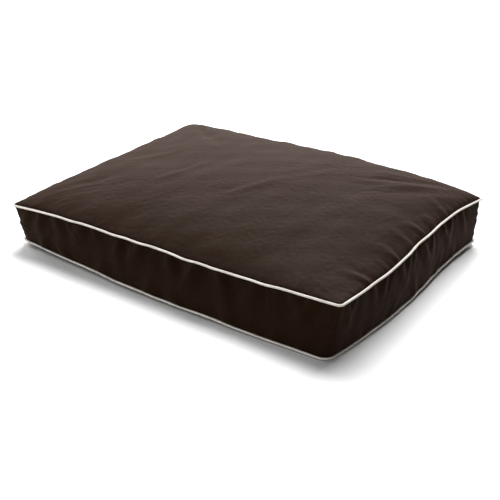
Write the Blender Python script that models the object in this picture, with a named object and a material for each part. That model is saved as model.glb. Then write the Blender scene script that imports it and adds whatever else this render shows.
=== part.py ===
"""Boxed pet cushion bed: a piped fabric cover with a zip in its back, a muslin liner and fibre fill.

Run with: blender --background --python part.py
Metres, +Z up. The origin is the centre of the footprint, on the surface that the bed rests on.
+X runs along the long side, -Y is the front, and the zip is in the +Y side.
Every sewn edge is placed by its inset, the distance inwards from the centre line of the piping.
The walls lean in a little towards the top, so an inset also counts how far they lean at its height.
"""
import math

import bmesh
import bpy

MM = 0.001

# Driving dimensions
LENGTH = 930 * MM            # over the lower piping; the upper one measures 914 mm, or 36 in
WIDTH = 702 * MM             # over the lower piping; the upper one measures 686 mm, or 27 in
LEAN = 8 * MM                # how far each wall leans in from the lower seam to the upper one
TOP_SEAM = 122 * MM          # height of the upper piping's centre
BOTTOM_SEAM = 9 * MM         # height of the lower piping's centre
CROWN = 60 * MM              # rise of the top panel above its seam
CORNER = 30 * MM             # plan radius of the piping's centre line
PIPING_RADIUS = 3.5 * MM     # outside of the fabric round the cord
CORD_RADIUS = 2.5 * MM
ALLOWANCE = 13 * MM          # inset that the sewn edges reach
FABRIC = 1.0 * MM            # brushed cover cloth
BIAS_CLOTH = 0.7 * MM        # cloth round the piping cord
LINER_CLOTH = 0.6 * MM
GAP = 0.3 * MM               # clearance between pieces that touch
WALL_INSET = 4.5 * MM        # boxing where it leaves the seams
BULGE = 6.5 * MM             # how far the boxing swells at the middle of a side
LINER_INSET = 15 * MM
FILL_INSET = 17.5 * MM

# Crown of the top panel: full almost to the seams, lower at the corners
CROWN_POWER = 3.8
CROWN_FULLNESS = 0.4

# Zip, in the back wall
ZIP_HALF = 392 * MM          # half the distance between the outer faces of the end stops
UPRIGHT = 22 * MM            # the walls stand upright this far above and below the zip's centre
ZIP_SLOT = 6.5 * MM          # from the zip's centre to the folded cloth edge on each side
HEM = 8 * MM                 # cloth turned under along the zip
TAPE = 0.6 * MM
TAPE_EDGE = 1.3 * MM         # from the zip's centre to the inner edge of each tape
TAPE_WIDTH = 13 * MM
SLIDER_LENGTH = 12 * MM
SLIDER_X = 380.5 * MM        # centre of the slider with the zip closed
PULL_LENGTH = 24 * MM

# Stations round the seam line. Shares run from -1 to 1 along the straight part of a side.
HALF_CORNER_STEPS = 3
ZIP_SHARE = 0.935            # the zip's slot starts to close here
LONG_SHARES = (-1, -ZIP_SHARE, 0, ZIP_SHARE, 1)
SHORT_SHARES = (-1, -0.33, 0.33, 1)
END_SHARES = (-1, 1)
MIN_CORNER = 10 * MM

HALF_X = LENGTH / 2 - PIPING_RADIUS
HALF_Y = WIDTH / 2 - PIPING_RADIUS
MIDDLE = (TOP_SEAM + BOTTOM_SEAM) / 2
FRONT, RIGHT, BACK, LEFT = range(4)
PIPING_LIP = BIAS_CLOTH + 0.2 * MM     # from the seam's middle to the outside of the piping's flange

# Finishes: colour, roughness and metallic value
FINISHES = {
    "cover_cloth": ((0.058, 0.044, 0.036), 0.92, 0.0),
    "bias_cloth": ((0.86, 0.80, 0.74), 0.85, 0.0),
    "cotton_cord": ((0.82, 0.80, 0.76), 0.90, 0.0),
    "muslin": ((0.78, 0.74, 0.66), 0.90, 0.0),
    "fibre": ((0.90, 0.90, 0.88), 0.95, 0.0),
    "tape_weave": ((0.045, 0.035, 0.030), 0.85, 0.0),
    "coil_nylon": ((0.050, 0.040, 0.034), 0.40, 0.0),
    "dark_metal": ((0.20, 0.17, 0.14), 0.35, 1.0),
    "satin_ribbon": ((0.90, 0.90, 0.88), 0.60, 0.0),
}


def clear_scene():
    for old in list(bpy.data.objects):
        bpy.data.objects.remove(old, do_unlink=True)


def material(name, finish):
    colour, roughness, metallic = FINISHES[finish]
    made = bpy.data.materials.new(name + "_" + finish)
    made.use_nodes = True
    shader = made.node_tree.nodes["Principled BSDF"]
    shader.inputs["Base Color"].default_value = (*colour, 1.0)
    shader.inputs["Roughness"].default_value = roughness
    shader.inputs["Metallic"].default_value = metallic
    return made


def place_mesh(name, bm, finish, smooth=True):
    """Turn a bmesh into a named object with its own material."""
    mesh = bpy.data.meshes.new(name)
    bm.to_mesh(mesh)
    bm.free()
    if smooth:
        mesh.shade_smooth()
        mesh.set_sharp_from_angle(angle=math.radians(40))
    piece = bpy.data.objects.new(name, mesh)
    bpy.context.collection.objects.link(piece)
    mesh.materials.append(material(name, finish))
    return piece


# Plan of the seam line

def side_points(side, inset, shares=None, end_gap=0.0):
    """Plan points of one side, from the middle of one corner to the middle of the next."""
    along = HALF_X if side in (FRONT, BACK) else HALF_Y
    across = HALF_Y if side in (FRONT, BACK) else HALF_X
    straight = shares or (LONG_SHARES if side in (FRONT, BACK) else SHORT_SHARES)
    radius = max(CORNER - inset, MIN_CORNER)
    flat = along - inset - radius
    depth = across - inset - radius
    trim = end_gap / radius
    quarter = math.pi / 4
    local = []
    for step in range(HALF_CORNER_STEPS):
        angle = 3 * quarter - trim - (quarter - trim) * step / HALF_CORNER_STEPS
        local.append((-flat + radius * math.cos(angle), depth + radius * math.sin(angle)))
    local += [(flat * share, depth + radius) for share in straight]
    for step in range(1, HALF_CORNER_STEPS + 1):
        angle = 2 * quarter - (quarter - trim) * step / HALF_CORNER_STEPS
        local.append((flat + radius * math.cos(angle), depth + radius * math.sin(angle)))
    turn = side * math.pi / 2
    ahead = (math.cos(turn), math.sin(turn))
    outward = (math.sin(turn), -math.cos(turn))
    return [(u * ahead[0] + v * outward[0], u * ahead[1] + v * outward[1]) for u, v in local]


def loop_points(inset, shares=None):
    """Plan points of the whole seam line, anticlockwise from the front left corner."""
    points = []
    for side in (FRONT, RIGHT, BACK, LEFT):
        points += side_points(side, inset, shares)[:-1]
    return points


def lean(height):
    """How far the walls have leant in at a height: nothing at the lower seam, all of it at the upper one."""
    if height < MIDDLE - UPRIGHT:
        share = 0.5 * max(0.0, height - BOTTOM_SEAM) / (MIDDLE - UPRIGHT - BOTTOM_SEAM)
    elif height > MIDDLE + UPRIGHT:
        share = 1 - 0.5 * max(0.0, TOP_SEAM - height) / (TOP_SEAM - MIDDLE - UPRIGHT)
    else:
        share = 0.5
    return LEAN * share


def crown_share(x, y, half_x, half_y):
    """Share of the full crown at a plan point: 0 on the edge and 1 in the middle."""
    lengthwise = max(0.0, 1 - abs(x / half_x) ** CROWN_POWER)
    crosswise = max(0.0, 1 - abs(y / half_y) ** CROWN_POWER)
    return (lengthwise * crosswise) ** CROWN_FULLNESS


def level_row(inset, height):
    return [(x, y, height) for x, y in loop_points(inset + lean(height))]


def crown_row(inset, edge_inset, base, rise):
    """A row on a crown that starts at edge_inset and climbs by rise from base."""
    half_x = HALF_X - LEAN - edge_inset
    half_y = HALF_Y - LEAN - edge_inset
    points = loop_points(inset + LEAN)
    return [(x, y, base + rise * crown_share(x, y, half_x, half_y)) for x, y in points]


# Sheets, tubes and solids built from rows of points

def grid(bm, rows, closed):
    """Quads between neighbouring rows; returns the rows' vertices."""
    made = [[bm.verts.new(point) for point in row] for row in rows]
    count = len(rows[0])
    spans = count if closed else count - 1
    for lower, upper in zip(made, made[1:]):
        for i in range(spans):
            j = (i + 1) % count
            bm.faces.new((lower[i], lower[j], upper[j], upper[i]))
    return made


def cap(bm, ring, height):
    """Close a ring with triangles to its centre."""
    middle = bm.verts.new((0.0, 0.0, height))
    for first, second in zip(ring, ring[1:] + ring[:1]):
        bm.faces.new((first, second, middle))


def thicken(piece, thickness):
    """Give a sheet its cloth thickness, on its inner side."""
    solid = piece.modifiers.new("thickness", "SOLIDIFY")
    solid.thickness = thickness
    solid.offset = -1.0
    solid.use_even_offset = True
    solid.use_quality_normals = True


def tube(name, outline, finish):
    """Sweep a closed outline of (inset, height) points round the seam line."""
    bm = bmesh.new()
    tilt = LEAN if outline[0][1] > MIDDLE else 0.0
    rows = [[(x, y, height) for x, y in loop_points(inset + tilt, END_SHARES)] for inset, height in outline]
    grid(bm, rows + rows[:1], closed=True)
    bmesh.ops.remove_doubles(bm, verts=bm.verts, dist=1e-6)
    bmesh.ops.recalc_face_normals(bm, faces=bm.faces)
    return place_mesh(name, bm, finish)


def box(name, low, high, finish):
    bm = bmesh.new()
    bmesh.ops.create_cube(bm, size=1.0)
    for vert in bm.verts:
        for axis in range(3):
            vert.co[axis] = low[axis] if vert.co[axis] < 0 else high[axis]
    return place_mesh(name, bm, finish, smooth=False)


def add_boolean(piece, tool, operation):
    """Join or cut with a tool object that the model leaves out."""
    step = piece.modifiers.new(tool.name, "BOOLEAN")
    step.operation = operation
    step.object = tool
    tool.hide_render = True
    tool.display_type = "WIRE"


# Cover

def top_panel():
    seam_turn = [
        (ALLOWANCE, PIPING_LIP + GAP),
        (WALL_INSET + 0.8 * MM, PIPING_LIP + GAP),
        (WALL_INSET, 1.9 * MM),
        (WALL_INSET, 3.5 * MM),
    ]
    rows = [level_row(inset, TOP_SEAM + rise) for inset, rise in seam_turn]
    for inset in (6, 10, 18, 32, 60, 105, 170, 250, 310):
        rows.append(crown_row(inset * MM, 0.0, TOP_SEAM, CROWN))
    bm = bmesh.new()
    rings = grid(bm, rows, closed=True)
    cap(bm, rings[-1], TOP_SEAM + CROWN)
    thicken(place_mesh("top_panel", bm, "cover_cloth"), FABRIC)


def bottom_panel():
    """Flat where it rests, turned up to the lower seam round its edge."""
    outline = [
        (30 * MM, 0.0),
        (18 * MM, 0.8 * MM),
        (10 * MM, 2.8 * MM),
        (5.6 * MM, 5.2 * MM),
        (WALL_INSET, BOTTOM_SEAM - 2.1 * MM),
        (WALL_INSET + 0.8 * MM, BOTTOM_SEAM - PIPING_LIP - GAP),
        (ALLOWANCE, BOTTOM_SEAM - PIPING_LIP - GAP),
    ]
    bm = bmesh.new()
    rings = grid(bm, [level_row(inset, height) for inset, height in outline], closed=True)
    bm.faces.new(list(reversed(rings[0])))
    thicken(place_mesh("bottom_panel", bm, "cover_cloth"), FABRIC)


def wall_row(side, inset, height, bulge):
    """One row of a boxing strip, swollen towards the middle of the side."""
    swell = bulge * math.sin(math.pi * (height - BOTTOM_SEAM) / (TOP_SEAM - BOTTOM_SEAM))
    leant = inset + lean(height)
    plain = side_points(side, leant, end_gap=GAP / 2)
    swollen = side_points(side, leant - swell, end_gap=GAP / 2)
    last = len(plain) - 1
    row = []
    for i, (point, pushed) in enumerate(zip(plain, swollen)):
        share = math.sin(math.pi * i / last)
        x, y = [a + (b - a) * share for a, b in zip(point, pushed)]
        row.append((x, y, height))
    return row


def seam_rows(seam, towards_middle):
    """Insets and heights of a boxing strip's edge, from its sewn end to the wall."""
    return [
        (ALLOWANCE, seam + towards_middle * (PIPING_LIP + GAP)),
        (WALL_INSET + 0.8 * MM, seam + towards_middle * (PIPING_LIP + GAP)),
        (WALL_INSET, seam + towards_middle * 1.9 * MM),
    ]


def boxing(name, side):
    lower = seam_rows(BOTTOM_SEAM, 1)
    upper = seam_rows(TOP_SEAM, -1)[::-1]
    span = TOP_SEAM - BOTTOM_SEAM
    wall = [(WALL_INSET, BOTTOM_SEAM + share * span) for share in (0.12, 0.3, 0.5, 0.7, 0.88)]
    bm = bmesh.new()
    grid(bm, [wall_row(side, inset, height, BULGE) for inset, height in lower + wall + upper], closed=False)
    thicken(place_mesh(name, bm, "cover_cloth"), FABRIC)


def hem_row(inset, from_fold, towards_middle):
    """A row at a fixed distance from the folded edge, which closes on the middle past the zip's ends."""
    slot_end = (HALF_X - CORNER) * ZIP_SHARE + 0.1 * MM
    row = []
    for x, y in side_points(BACK, inset + LEAN / 2, end_gap=GAP / 2):
        slot = ZIP_SLOT if abs(x) < slot_end else GAP / 2
        row.append((x, y, MIDDLE - towards_middle * (slot + from_fold)))
    return row


def back_boxing(name, seam, towards_middle):
    """Half of the back wall, with its edge turned under along the zip."""
    turn = 0.9 * MM
    behind = WALL_INSET + 2 * FABRIC + GAP
    wall = seam_rows(seam, towards_middle) + [(WALL_INSET, seam + towards_middle * 10 * MM)]
    rows = [wall_row(BACK, inset, height, 0.0) for inset, height in wall]
    hem = [
        (WALL_INSET, 4 * MM),
        (WALL_INSET, turn),
        ((WALL_INSET + behind) / 2, 0.0),
        (behind, turn),
        (behind, HEM),
    ]
    rows += [hem_row(inset, from_fold, towards_middle) for inset, from_fold in hem]
    if towards_middle < 0:
        rows.reverse()
    bm = bmesh.new()
    grid(bm, rows, closed=False)
    thicken(place_mesh(name, bm, "cover_cloth"), FABRIC)


def arc(radius, start, end, steps):
    """Points of (inset, height) on a circle round the piping's centre."""
    angles = [start + (end - start) * step / steps for step in range(steps + 1)]
    return [(radius * math.cos(angle), radius * math.sin(angle)) for angle in angles]


def piping_cover(name, seam):
    """Bias cloth wrapped round the cord, its two edges running inwards as the sewn flange."""
    inner = PIPING_RADIUS - BIAS_CLOTH
    slit = PIPING_LIP - BIAS_CLOTH
    outer_angle = math.asin(PIPING_LIP / PIPING_RADIUS)
    inner_angle = math.asin(slit / inner)
    outline = [(ALLOWANCE, PIPING_LIP)]
    outline += arc(PIPING_RADIUS, outer_angle, 2 * math.pi - outer_angle, 9)
    outline += [(ALLOWANCE, -PIPING_LIP), (ALLOWANCE, -slit)]
    outline += arc(inner, 2 * math.pi - inner_angle, inner_angle, 7)
    outline += [(ALLOWANCE, slit)]
    tube(name, [(inset, seam + height) for inset, height in outline], "bias_cloth")


def piping_cord(name, seam):
    outline = arc(CORD_RADIUS, 0.0, 2 * math.pi, 8)[:-1]
    tube(name, [(inset, seam + height) for inset, height in outline], "cotton_cord")


# Insert

def liner_lower():
    """Lower half of the muslin bag, its sewn edge turned inwards at mid height."""
    outline = [
        (44 * MM, 1.8 * MM),
        (30 * MM, 3.0 * MM),
        (20 * MM, 7.5 * MM),
        (LINER_INSET, 18 * MM),
        (LINER_INSET, MIDDLE - 1.0 * MM),
        (LINER_INSET + 0.7 * MM, MIDDLE - GAP / 2),
        (LINER_INSET + 9 * MM, MIDDLE - GAP / 2),
    ]
    bm = bmesh.new()
    rings = grid(bm, [level_row(inset, height) for inset, height in outline], closed=True)
    bm.faces.new(list(reversed(rings[0])))
    thicken(place_mesh("liner_lower", bm, "muslin"), LINER_CLOTH)


def liner_upper():
    """Upper half of the muslin bag, crowned under the top panel."""
    shoulder = TOP_SEAM - 6 * MM
    outline = [
        (LINER_INSET + 9 * MM, MIDDLE + GAP / 2),
        (LINER_INSET + 0.7 * MM, MIDDLE + GAP / 2),
        (LINER_INSET, MIDDLE + 1.0 * MM),
        (LINER_INSET, shoulder),
    ]
    rise = TOP_SEAM + CROWN - 3.5 * MM - shoulder
    rows = [level_row(inset, height) for inset, height in outline]
    for step in (2, 8, 20, 48, 100, 180, 270):
        rows.append(crown_row(LINER_INSET + step * MM, LINER_INSET, shoulder, rise))
    bm = bmesh.new()
    rings = grid(bm, rows, closed=True)
    cap(bm, rings[-1], shoulder + rise)
    thicken(place_mesh("liner_upper", bm, "muslin"), LINER_CLOTH)


def fibre_fill():
    """The stuffing, with a groove where the liner's sewn edge lies."""
    bottom = 3.4 * MM
    shoulder = TOP_SEAM - 8 * MM
    outline = [
        (48 * MM, bottom),
        (33 * MM, 5.0 * MM),
        (23 * MM, 10 * MM),
        (FILL_INSET, 20 * MM),
        (FILL_INSET, MIDDLE - 4 * MM),
        (FILL_INSET + 10 * MM, MIDDLE - 2.5 * MM),
        (FILL_INSET + 10 * MM, MIDDLE + 2.5 * MM),
        (FILL_INSET, MIDDLE + 4 * MM),
        (FILL_INSET, shoulder),
    ]
    rise = TOP_SEAM + CROWN - 6 * MM - shoulder
    rows = [level_row(inset, height) for inset, height in outline]
    for step in (2, 8, 20, 48, 100, 180, 270):
        rows.append(crown_row(FILL_INSET + step * MM, FILL_INSET, shoulder, rise))
    bm = bmesh.new()
    rings = grid(bm, rows, closed=True)
    bm.faces.new(list(reversed(rings[0])))
    cap(bm, rings[-1], shoulder + rise)
    place_mesh("fibre_fill", bm, "fibre")


# Zip. Depth is measured inwards from the outer face of the back wall.

WALL_Y = HALF_Y - LEAN / 2 - WALL_INSET
TAPE_DEPTH = 2 * FABRIC + 2 * GAP


def zip_block(name, x_range, depths, heights, finish="dark_metal"):
    """A block given by its X range, its depths below the wall and its heights from the zip's centre."""
    low = (x_range[0], WALL_Y - depths[1], MIDDLE + heights[0])
    high = (x_range[1], WALL_Y - depths[0], MIDDLE + heights[1])
    return box(name, low, high, finish)


def zip_chain():
    tape_end = HALF_X - CORNER
    coil_range = (-ZIP_HALF + 2.3 * MM, SLIDER_X + 2 * MM)
    stop_range = (SLIDER_X + SLIDER_LENGTH / 2 + GAP, ZIP_HALF)
    tape_depths = (TAPE_DEPTH, TAPE_DEPTH + TAPE)
    coil_depths = (0.3 * MM, TAPE_DEPTH - GAP)
    for word, way in (("upper", 1), ("lower", -1)):
        tape_heights = sorted((way * TAPE_EDGE, way * (TAPE_EDGE + TAPE_WIDTH)))
        coil_heights = sorted((way * 0.2 * MM, way * 3.0 * MM))
        zip_block("zip_tape_" + word, (-tape_end, tape_end), tape_depths, tape_heights, "tape_weave")
        zip_block("zip_coil_" + word, coil_range, coil_depths, coil_heights, "coil_nylon")
        zip_block("zip_top_stop_" + word, stop_range, coil_depths, coil_heights)
    bottom_range = (-ZIP_HALF, -ZIP_HALF + 2 * MM)
    zip_block("zip_bottom_stop", bottom_range, coil_depths, (-2.6 * MM, 2.6 * MM))


def zip_slider():
    """Two plates joined by the wedge that parts the coils, with side rims and a bail for the pull."""
    low_x = SLIDER_X - SLIDER_LENGTH / 2
    high_x = SLIDER_X + SLIDER_LENGTH / 2
    rim_end = TAPE_DEPTH - GAP
    inner_face = TAPE_DEPTH + TAPE + GAP
    half = 4.8 * MM
    wedge_half, bail_half = 0.8 * MM, 0.7 * MM
    wedge_range = (high_x - 3.4 * MM, high_x - 0.4 * MM)
    bail_near, bail_far = 3.0 * MM, 3.7 * MM
    leg_depths, top_depths = (-3.3 * MM, -0.5 * MM), (-3.6 * MM, -2.9 * MM)
    body = zip_block("zip_slider", (low_x, high_x), (-1.0 * MM, 0.0), (-half, half))
    extras = [
        ("inner_plate", (low_x, high_x), (inner_face, inner_face + 1.0 * MM), (-half, half)),
        ("wedge", wedge_range, (-0.5 * MM, inner_face + 0.5 * MM), (-wedge_half, wedge_half)),
        ("rim_upper", (low_x, high_x), (-0.5 * MM, rim_end), (3.9 * MM, half)),
        ("rim_lower", (low_x, high_x), (-0.5 * MM, rim_end), (-half, -3.9 * MM)),
        ("bail_top", (SLIDER_X - bail_far, SLIDER_X + bail_far), top_depths, (-bail_half, bail_half)),
        ("bail_tail", (SLIDER_X - bail_far, SLIDER_X - bail_near), leg_depths, (-bail_half, bail_half)),
        ("bail_nose", (SLIDER_X + bail_near, SLIDER_X + bail_far), leg_depths, (-bail_half, bail_half)),
    ]
    for name, x_range, depths, heights in extras:
        add_boolean(body, zip_block(name, x_range, depths, heights), "UNION")


def zip_pull():
    """Flat tab whose end bar turns under the bail; its origin is on that bar's axis."""
    half_thick = 0.45 * MM
    near, far = 2.5 * MM, 3.4 * MM
    bm = bmesh.new()
    outline = [(0.5 * MM, -near), (0.5 * MM, near)]
    for step in range(7):
        angle = math.pi / 2 + math.pi * step / 6
        outline.append((-PULL_LENGTH + far + far * math.cos(angle), far * math.sin(angle)))
    back_face = bm.faces.new([bm.verts.new((x, -half_thick, z)) for x, z in outline])
    grown = bmesh.ops.extrude_face_region(bm, geom=[back_face])
    for item in grown["geom"]:
        if isinstance(item, bmesh.types.BMVert):
            item.co.y = half_thick
    bmesh.ops.recalc_face_normals(bm, faces=bm.faces)
    pull = place_mesh("zip_pull", bm, "dark_metal")
    pull.location = (SLIDER_X, WALL_Y + 1.75 * MM, MIDDLE)
    hole = box("pull_hole", (-4.8 * MM, -2 * MM, -1.5 * MM), (-0.5 * MM, 2 * MM, 1.5 * MM), "dark_metal")
    hole.location = pull.location
    add_boolean(pull, hole, "DIFFERENCE")


def care_label():
    """Blank ribbon folded in two, standing on the lower sewn edge between the back wall and the liner."""
    inset, ply = 9.3 * MM, 0.3 * MM
    low_z, high_z = BOTTOM_SEAM + 3.2 * MM, BOTTOM_SEAM + 36 * MM
    half_gap = GAP / 2
    outline = [
        (inset - half_gap - ply, low_z), (inset - half_gap - ply, high_z), (inset + half_gap + ply, high_z),
        (inset + half_gap + ply, low_z), (inset + half_gap, low_z), (inset + half_gap, high_z - ply),
        (inset - half_gap, high_z - ply), (inset - half_gap, low_z),
    ]
    low_x, high_x = -410 * MM, -380 * MM
    bm = bmesh.new()
    rows = [[(x, HALF_Y - LEAN / 2 - depth, z) for depth, z in outline] for x in (low_x, high_x)]
    ends = grid(bm, rows, closed=True)
    for end in ends:
        bm.faces.new(end)
    bmesh.ops.recalc_face_normals(bm, faces=bm.faces)
    place_mesh("care_label", bm, "satin_ribbon", smooth=False)


def build():
    clear_scene()
    top_panel()
    bottom_panel()
    boxing("front_boxing", FRONT)
    boxing("right_boxing", RIGHT)
    boxing("left_boxing", LEFT)
    back_boxing("back_boxing_upper", TOP_SEAM, -1)
    back_boxing("back_boxing_lower", BOTTOM_SEAM, 1)
    for word, seam in (("top", TOP_SEAM), ("bottom", BOTTOM_SEAM)):
        piping_cover(word + "_piping_cover", seam)
        piping_cord(word + "_piping_cord", seam)
    liner_upper()
    liner_lower()
    fibre_fill()
    zip_chain()
    zip_slider()
    zip_pull()
    care_label()


build()
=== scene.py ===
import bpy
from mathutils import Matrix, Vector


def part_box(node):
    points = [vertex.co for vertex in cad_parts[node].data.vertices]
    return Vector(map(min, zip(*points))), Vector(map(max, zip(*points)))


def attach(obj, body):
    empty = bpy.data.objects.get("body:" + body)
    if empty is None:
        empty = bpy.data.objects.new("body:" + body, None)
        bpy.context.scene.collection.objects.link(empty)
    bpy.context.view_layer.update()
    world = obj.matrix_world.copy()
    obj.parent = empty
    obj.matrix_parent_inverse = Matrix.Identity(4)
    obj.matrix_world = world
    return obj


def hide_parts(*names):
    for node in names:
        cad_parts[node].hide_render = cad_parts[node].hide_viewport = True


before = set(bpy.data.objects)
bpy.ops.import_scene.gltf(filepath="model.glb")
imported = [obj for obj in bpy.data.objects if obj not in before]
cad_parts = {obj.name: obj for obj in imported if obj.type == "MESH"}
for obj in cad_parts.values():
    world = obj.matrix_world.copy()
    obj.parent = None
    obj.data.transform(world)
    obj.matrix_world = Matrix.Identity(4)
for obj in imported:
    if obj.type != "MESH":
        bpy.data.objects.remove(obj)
"""Looks of the boxed pet cushion bed: simulated cover cloth, twisted piping, zip, liner and fill.

Metres, +Z up. The long front wall faces -Y and the zip is in the +Y wall. Seam curves are worked out from
the CAD piping, each wall and panel is cloth pinned to them, and an inset is measured inwards from the
centre line of the piping.
"""
import math

import bmesh
import bpy
import numpy as np
from mathutils import Matrix, Vector

MM = 0.001
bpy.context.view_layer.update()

# ---------------------------------------------------------------- sizes taken from the frame

FRONT, RIGHT, BACK, LEFT = range(4)
PIPE_R = 3.5 * MM            # of the CAD piping, to find its centre line
COVERED_R = 2.55 * MM        # what the pulled-up bias cloth measures where it shows
CORD_R = 1.66 * MM
TWIST = 0.13 * MM            # how far the cord's strands stand out, and show through
CORD_PITCH = 24 * MM         # length of one turn of the cord's strands
COVER_PITCH = 13 * MM        # and of the ridges that they raise in its cover
top_low, top_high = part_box("top_piping_cover")
bottom_low, bottom_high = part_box("bottom_piping_cover")
TOP_X, TOP_Y = top_high.x - PIPE_R, top_high.y - PIPE_R
TOP_Z = (top_low.z + top_high.z) / 2
BOTTOM_Z = (bottom_low.z + bottom_high.z) / 2
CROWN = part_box("top_panel")[1].z - TOP_Z
slider_low, slider_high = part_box("zip_slider")
ZIP_Z = (slider_low.z + slider_high.z) / 2
WALL_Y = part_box("zip_coil_upper")[1].y + 0.3 * MM
FABRIC = 1.0 * MM
SEAM_INSET = 3.2 * MM        # where the cloth comes out of the seam
SEAM_RISE = 1.05 * MM        # half the thickness of the piping's flange, and a little air
ALLOWANCE = 13 * MM
FLAT_ALLOWANCE = 9 * MM      # what a panel's flat cut shows of its allowance
WAYS = {"upper": 1, "lower": -1}     # which way each half lies from the zip

CELL = 7.2 * MM
FRAMES = 36

# ---------------------------------------------------------------- seam curves

# The sharp corners of a seam come in the order front left, front right, back right, back left. Each has a
# shift in x, y and z from the upper seam's own rectangle, and an ear in x and y that fades along its sides.
# Each side leaves its straight line by an outward bow, a sag, and an S-shaped sway outwards and upwards
# that is positive over the side's first half. All of them are in millimetres.
SEAMS = {
    "top": {
        "z": TOP_Z, "corner_radius": 11 * MM, "ripple": 1.0, "seed": 15,
        "shifts": [(0, 0, -10), (0, 0, 6), (0, 0, -3), (0, 0, 2)],
        "ears": [(-17, -10), (1, -2), (13, 7), (-5, 6)],
        "sides": [(0, 3, 0, 4), (2, 0, 3, -6), (0, -8, 1, 2), (2, 1, 1, -3)],
    },
    "bottom": {
        "z": BOTTOM_Z, "corner_radius": 24 * MM, "ripple": 0.7, "seed": 11,
        "shifts": [(0, 12, 5), (-16, -16, -5), (4, -15, 6), (6, -14, -1)],
        "ears": [(-16, -3), (0, 0), (11, 7), (-5, 5)],
        "sides": [(20, 0, 1, 0), (18, 0, 5, 0), (22, 0, 0, 0), (16, 0, 1, 0)],
    },
}
EAR_REACH = 75 * MM
RIPPLE = 0.9 * MM            # small waves that the gathers leave in the piping
RIPPLE_LENGTHS = (0.34, 0.19, 0.11, 0.07)
UP = np.array([0, 0, 1.0])


def corners(level):
    """The four sharp corners of a seam."""
    seam = SEAMS[level]
    signs = [(-1, -1), (1, -1), (1, 1), (-1, 1)]
    return [np.array([sx * TOP_X + dx * MM, sy * TOP_Y + dy * MM, seam["z"] + dz * MM])
            for (sx, sy), (dx, dy, dz) in zip(signs, seam["shifts"])]


def unit(v):
    return v / max(np.linalg.norm(v), 1e-12)


def path_lengths(points):
    """How far along a polyline each of its points is."""
    return np.concatenate([[0], np.cumsum(np.linalg.norm(np.diff(points, axis=0), axis=1))])


def resample(points, count):
    """Evenly spaced points along a polyline."""
    along = path_lengths(points)
    wanted = np.linspace(0, along[-1], count)
    return np.stack([np.interp(wanted, along, points[:, axis]) for axis in range(3)], axis=1)


def side_curve(level, side, count):
    """Points of one side of a seam, from the middle of one corner to the middle of the next."""
    seam = SEAMS[level]
    radius = seam["corner_radius"]
    ring = corners(level)
    before, start, end, after = [ring[(side + k) % 4] for k in (-1, 0, 1, 2)]
    ahead = unit(end - start)
    into, away = unit(start - before), unit(after - end)

    def bend(corner, arrive, leave, shares):
        first, last = corner - arrive * radius, corner + leave * radius
        return [(1 - s) ** 2 * first + 2 * s * (1 - s) * corner + s ** 2 * last for s in shares]

    straight = end - start - 2 * ahead * radius
    line = bend(start, into, ahead, np.linspace(0.5, 1, 12))
    line += [start + ahead * radius + straight * s for s in np.linspace(0, 1, 160)[1:-1]]
    line += bend(end, ahead, away, np.linspace(0, 0.5, 12))
    points = resample(np.array(line), count)
    share = np.linspace(0, 1, count)
    hump, sway = np.sin(np.pi * share) ** 0.9, np.sin(2 * np.pi * share)
    bow, sag, out_sway, up_sway = seam["sides"][side]
    out = (bow * hump + out_sway * sway) * MM
    rise = (-sag * hump + up_sway * sway) * MM
    length = np.linalg.norm(end - start)
    rng = np.random.default_rng(seam["seed"] + side)
    for wave in RIPPLE_LENGTHS:
        turn = 2 * np.pi * share * length / wave
        weight = RIPPLE * seam["ripple"] * (wave / 0.19) ** 0.7 * hump
        out += weight * 0.8 * np.sin(turn + rng.uniform(0, 2 * np.pi))
        rise += weight * 0.7 * np.sin(turn + rng.uniform(0, 2 * np.pi))
    outward = unit(np.array([ahead[1], -ahead[0], 0.0]))
    points = points + outward * out[:, None] + UP * rise[:, None]
    for corner, distance in ((side, share * length), ((side + 1) % 4, (1 - share) * length)):
        fade = np.exp(-(distance / EAR_REACH) ** 1.4)
        points = points + np.array([*seam["ears"][corner], 0.0]) * MM * fade[:, None]
    return points


def inward_of(points):
    """Unit plan directions to the left of travel, which is inwards on these anticlockwise seams."""
    ahead = np.gradient(points, axis=0)
    ahead[:, 2] = 0
    ahead /= np.linalg.norm(ahead, axis=1)[:, None]
    return np.stack([-ahead[:, 1], ahead[:, 0], np.zeros(len(ahead))], axis=1)


def corner_inward(side):
    """The inward direction at a side's two ends, shared with its neighbours."""
    ring = corners("top")
    middle = sum(ring) / 4
    ends = []
    for k in (side, (side + 1) % 4):
        sign = np.sign(middle[:2] - ring[k][:2])
        ends.append(np.array([sign[0], sign[1], 0]) / math.sqrt(2))
    return ends


def seam_row(level, side, count, inset, rise):
    """A side's seam line moved inwards and up."""
    points = side_curve(level, side, count)
    inward = inward_of(points)
    inward[0], inward[-1] = corner_inward(side)
    moved = points + inward * inset
    moved[:, 2] += rise
    return moved


# ---------------------------------------------------------------- objects


def linked(name, data):
    """A new object in the scene for a mesh, a light or a camera."""
    shown = bpy.data.objects.new(name, data)
    bpy.context.scene.collection.objects.link(shown)
    return shown


def mesh_object(name, points, faces):
    mesh = bpy.data.meshes.new(name)
    mesh.from_pydata(points, [], faces)
    mesh.shade_smooth()
    return linked(name, mesh)


def thicken(piece, thickness):
    """Give a sheet its thickness, on the inner side of its faces."""
    solid = piece.modifiers.new("cloth thickness", "SOLIDIFY")
    solid.thickness = thickness
    solid.offset = -1.0


def tube_faces(count, around, closed=False):
    """Faces between rings of points, capped at both ends unless the path closes on itself."""
    faces = []
    for i in range(count if closed else count - 1):
        j = (i + 1) % count
        for k in range(around):
            m = (k + 1) % around
            faces.append((i * around + k, i * around + m, j * around + m, j * around + k))
    if not closed:
        faces.append(tuple(range(around))[::-1])
        faces.append(tuple((count - 1) * around + k for k in range(around)))
    return faces


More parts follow.
